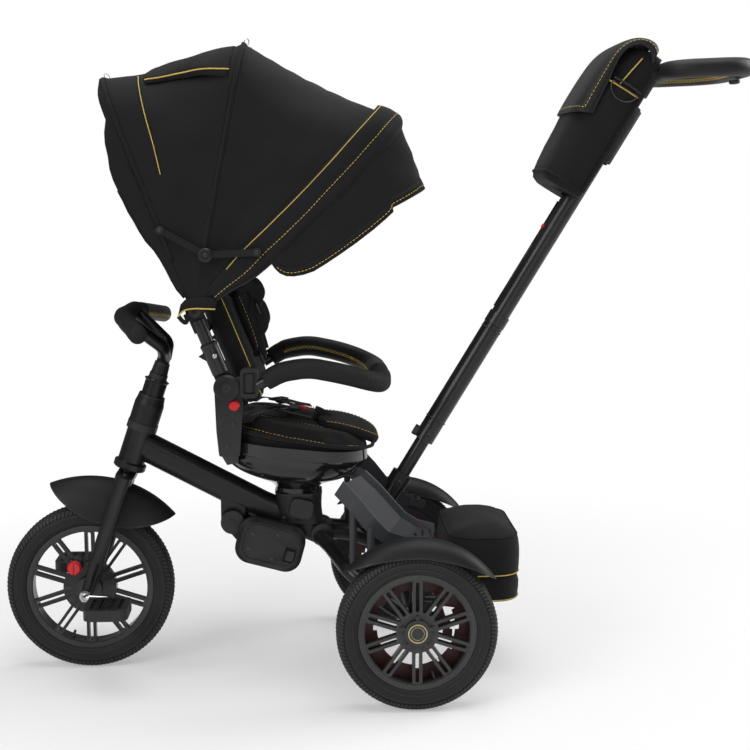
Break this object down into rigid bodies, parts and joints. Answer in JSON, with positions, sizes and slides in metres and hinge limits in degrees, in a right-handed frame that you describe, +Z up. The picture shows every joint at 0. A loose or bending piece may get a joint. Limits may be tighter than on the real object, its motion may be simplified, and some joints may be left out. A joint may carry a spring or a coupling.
{
  "type": "children tricycle",
  "caption": "Stroller tricycle with a steered front wheel, pedals, swivel seat, armrest, folding canopy, push bar, pouch and covered storage bin.",
  "frame": {"origin": "centre of the footprint on the ground", "axes": "+X from the front wheel to the push handle, +Y to the side of the tricycle that is on the far side when the front is on the left, +Z up"},
  "size_m": [1.245, 0.518, 1.0393],
  "materials": {
    "black_fabric": "matte",
    "black_paint": "satin",
    "black_plastic": "matte",
    "chrome": "gloss",
    "dark_red_plastic": "matte",
    "dark_steel": "satin",
    "foam": "matte",
    "gloss_black_plastic": "gloss",
    "grey_plastic": "matte",
    "leather": "satin",
    "red_plastic": "gloss",
    "soft_rubber": "matte",
    "tyre_black": "matte"
  },
  "bodies": {
    "frame": {"main_frame": "black_paint", "rear_frame": "black_paint", "rear_axle": "dark_steel", "head_bearings": "dark_steel", "headset_cover": "gloss_black_plastic", "seat_post": "black_plastic", "foot_panels": "black_plastic", "rear_fenders": "black_plastic", "storage_basket": "black_fabric", "push_lower_tube": "black_paint"},
    "lid": {"storage_lid": "black_fabric"},
    "seat_release": {"seat_release_lever": "black_plastic"},
    "footrest": {"footrest_arm": "black_paint"},
    "foot_pad_left": {"footrest_pad_left": "black_plastic"},
    "foot_pad_right": {"footrest_pad_right": "black_plastic"},
    "steering": {"fork": "black_paint", "front_fender": "black_plastic", "stem_collar": "gloss_black_plastic", "stem_boot": "soft_rubber", "handlebar": "black_paint", "handlebar_grips": "foam"},
    "front_wheel": {"front_rim": "black_plastic", "front_tyre": "tyre_black"},
    "clutch": {"clutch_knob": "red_plastic"},
    "cranks": {"crank": "chrome"},
    "pedal_l": {"pedal_left": "black_plastic"},
    "pedal_r": {"pedal_right": "black_plastic"},
    "rear_wheel_left": {"rear_rim_left": "black_plastic", "rear_tyre_left": "tyre_black", "wheel_trim_left": "dark_red_plastic"},
    "rear_wheel_right": {"rear_rim_right": "black_plastic", "rear_tyre_right": "tyre_black", "wheel_trim_right": "dark_red_plastic"},
    "brake": {"brake_pedal": "red_plastic"},
    "push_bar": {"push_upper_tube": "black_paint", "push_handle": "leather", "pouch": "leather"},
    "push_button": {"push_lock_button": "red_plastic"},
    "flap": {"pouch_flap": "leather"},
    "seat": {"seat_tub": "gloss_black_plastic", "seat_brackets": "gloss_black_plastic", "seat_cushion": "black_fabric", "harness_buckle": "black_plastic"},
    "buckle_release": {"buckle_button": "red_plastic"},
    "recline_release_left": {"recline_button_left": "red_plastic"},
    "recline_release_right": {"recline_button_right": "red_plastic"},
    "backrest": {"back_frame": "black_paint", "back_cushion": "black_fabric", "shoulder_pads": "black_fabric", "rear_bow": "dark_steel", "canopy_curtain": "black_fabric"},
    "armrest": {"armrest_core": "black_paint", "armrest_foam": "foam"},
    "canopy_middle": {"middle_bow": "dark_steel", "canopy_rear_panel": "black_fabric"},
    "canopy_front": {"front_bow": "dark_steel", "canopy_visor": "black_fabric", "canopy_front_panel": "black_fabric"},
    "links_rear": {"rear_links": "grey_plastic"},
    "links_front": {"front_links": "grey_plastic"}
  },
  "joints": [
    {"name": "steering", "type": "hinge", "parent": "frame", "child": "steering", "pos_m": [-0.482, 0, 0.141], "axis": [0.319, 0, 0.9478], "range_deg": [-30, 30]},
    {"name": "front_wheel_spin", "type": "hinge", "parent": "steering", "child": "front_wheel", "pos_m": [-0.482, 0, 0.141], "axis": [0, 1, 0], "continuous": true},
    {"name": "crank_spin", "type": "hinge", "parent": "steering", "child": "cranks", "pos_m": [-0.482, 0, 0.141], "axis": [0, 1, 0], "continuous": true},
    {"name": "pedal_spin_left", "type": "hinge", "parent": "cranks", "child": "pedal_l", "pos_m": [-0.436, -0.096, 0.138], "axis": [0, 1, 0], "continuous": true},
    {"name": "pedal_spin_right", "type": "hinge", "parent": "cranks", "child": "pedal_r", "pos_m": [-0.528, 0.096, 0.144], "axis": [0, 1, 0], "continuous": true},
    {"name": "clutch_pull", "type": "slide", "parent": "front_wheel", "child": "clutch", "axis": [0, -1, 0], "range_m": [0, 0.004]},
    {"name": "rear_wheel_spin_left", "type": "hinge", "parent": "frame", "child": "rear_wheel_left", "pos_m": [0.059, -0.231, 0.127], "axis": [0, 1, 0], "continuous": true},
    {"name": "rear_wheel_spin_right", "type": "hinge", "parent": "frame", "child": "rear_wheel_right", "pos_m": [0.059, 0.231, 0.127], "axis": [0, 1, 0], "continuous": true},
    {"name": "brake_press", "type": "hinge", "parent": "frame", "child": "brake", "pos_m": [0.111, 0, 0.112], "axis": [0, 1, 0], "range_deg": [0, 15]},
    {"name": "push_bar_height", "type": "slide", "parent": "frame", "child": "push_bar", "axis": [0.518, 0, 0.8554], "range_m": [-0.15, 0]},
    {"name": "push_button_press", "type": "slide", "parent": "push_bar", "child": "push_button", "axis": [0.8554, 0, -0.518], "range_m": [0, 0.003], "stiffness_N_per_m": 500},
    {"name": "pouch_flap_lift", "type": "hinge", "parent": "push_bar", "child": "flap", "pos_m": [0.43973, 0, 1.01937], "axis": [0, 1, 0], "range_deg": [0, 60]},
    {"name": "seat_swivel", "type": "hinge", "parent": "frame", "child": "seat", "pos_m": [-0.128, 0, 0.303], "axis": [0, 0, 1], "range_deg": [0, 180]},
    {"name": "seat_release_press", "type": "slide", "parent": "frame", "child": "seat_release", "axis": [0, 1, 0], "range_m": [0, 0.003], "stiffness_N_per_m": 500},
    {"name": "buckle_press", "type": "slide", "parent": "seat", "child": "buckle_release", "axis": [-0.1908, 0, -0.9816], "range_m": [0, 0.0025], "stiffness_N_per_m": 500},
    {"name": "backrest_recline", "type": "hinge", "parent": "seat", "child": "backrest", "pos_m": [-0.2375, 0, 0.502], "axis": [0, 1, 0], "range_deg": [-8, 8]},
    {"name": "recline_press_left", "type": "slide", "parent": "seat", "child": "recline_release_left", "axis": [0, 1, 0], "range_m": [0, 0.003], "stiffness_N_per_m": 500},
    {"name": "recline_press_right", "type": "slide", "parent": "seat", "child": "recline_release_right", "axis": [0, -1, 0], "range_m": [0, 0.003], "stiffness_N_per_m": 500},
    {"name": "armrest_lift", "type": "hinge", "parent": "seat", "child": "armrest", "pos_m": [-0.2375, 0, 0.502], "axis": [0, 1, 0], "range_deg": [-30, 0]},
    {"name": "canopy_fold", "type": "hinge", "parent": "backrest", "child": "canopy_front", "pos_m": [-0.286, 0, 0.624], "axis": [0, 1, 0], "range_deg": [-50, 0], "deforming": ["canopy_front_panel"]},
    {"name": "canopy_middle_follow", "type": "hinge", "parent": "backrest", "child": "canopy_middle", "pos_m": [-0.286, 0, 0.624], "axis": [0, 1, 0], "range_deg": [-20, 0], "deforming": ["canopy_rear_panel"]},
    {"name": "rear_link_fold", "type": "hinge", "parent": "backrest", "child": "links_rear", "pos_m": [-0.33474, 0, 0.75097], "axis": [0, 1, 0], "range_deg": [-1, 34]},
    {"name": "front_link_fold", "type": "hinge", "parent": "canopy_front", "child": "links_front", "pos_m": [-0.18654, 0, 0.71675], "axis": [0, 1, 0], "range_deg": [-34, 1]},
    {"name": "footrest_swing", "type": "hinge", "parent": "frame", "child": "footrest", "pos_m": [-0.238, 0, 0.254], "axis": [0, 1, 0], "range_deg": [0, 75]},
    {"name": "foot_pad_fold_left", "type": "hinge", "parent": "footrest", "child": "foot_pad_left", "pos_m": [-0.1828, -0.032, 0.18716], "axis": [0.9659, 0, -0.2588], "range_deg": [0, 90]},
    {"name": "foot_pad_fold_right", "type": "hinge", "parent": "footrest", "child": "foot_pad_right", "pos_m": [-0.1828, 0.032, 0.18716], "axis": [0.9659, 0, -0.2588], "range_deg": [-90, 0]},
    {"name": "storage_lid_lift", "type": "hinge", "parent": "frame", "child": "lid", "pos_m": [0.124, 0, 0.18], "axis": [0, 1, 0], "range_deg": [-35, 0]}
  ],
  "couplings": [
    {"joint": "canopy_middle_follow", "follows": "canopy_fold", "ratio": 0.4},
    {"joint": "rear_link_fold", "follows": "canopy_fold", "ratio": -0.674},
    {"joint": "front_link_fold", "follows": "canopy_fold", "ratio": 0.674}
  ]
}
